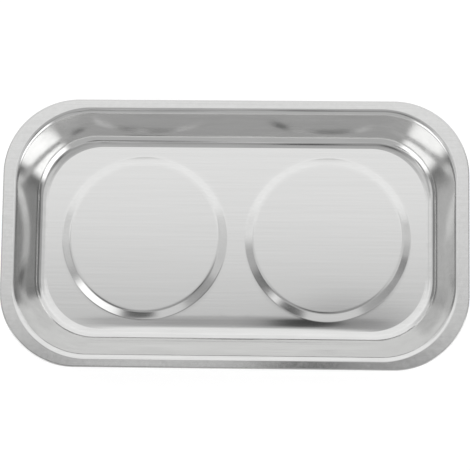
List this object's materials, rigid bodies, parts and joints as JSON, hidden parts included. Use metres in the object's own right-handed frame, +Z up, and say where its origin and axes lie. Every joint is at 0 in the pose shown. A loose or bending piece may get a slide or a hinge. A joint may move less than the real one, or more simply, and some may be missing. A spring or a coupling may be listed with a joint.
{
  "type": "magnetic parts tray",
  "caption": "Rectangular pressed-steel tray with rounded corners, a flat rim and raised round seats over rubber-booted ring magnets that hold small steel parts.",
  "frame": {"origin": "middle of the footprint, on the surface that the boots stand on", "axes": "+X along the tray, from the left seat to the right one; +Y away from the viewer; +Z up"},
  "size_m": [0.241, 0.1396, 0.0317],
  "materials": {
    "pan_steel": "satin",
    "zinc_steel": "satin",
    "spring_steel": "satin",
    "ferrite": "matte",
    "boot_rubber": "matte"
  },
  "bodies": {
    "tray": {"tray_pan": "pan_steel", "left_weld_stud": "zinc_steel", "left_ring_magnet": "ferrite", "left_clamp_cup": "zinc_steel", "left_flat_washer": "zinc_steel", "left_spring_washer": "spring_steel", "left_hex_nut": "zinc_steel", "right_weld_stud": "zinc_steel", "right_ring_magnet": "ferrite", "right_clamp_cup": "zinc_steel", "right_flat_washer": "zinc_steel", "right_spring_washer": "spring_steel", "right_hex_nut": "zinc_steel"},
    "left_boot": {"left_boot": "boot_rubber"},
    "right_boot": {"right_boot": "boot_rubber"}
  },
  "joints": [
    {"name": "left_boot_pull", "type": "slide", "parent": "tray", "child": "left_boot", "axis": [0, 0, -1], "range_m": [0, 0.014]},
    {"name": "right_boot_pull", "type": "slide", "parent": "tray", "child": "right_boot", "axis": [0, 0, -1], "range_m": [0, 0.014]}
  ]
}
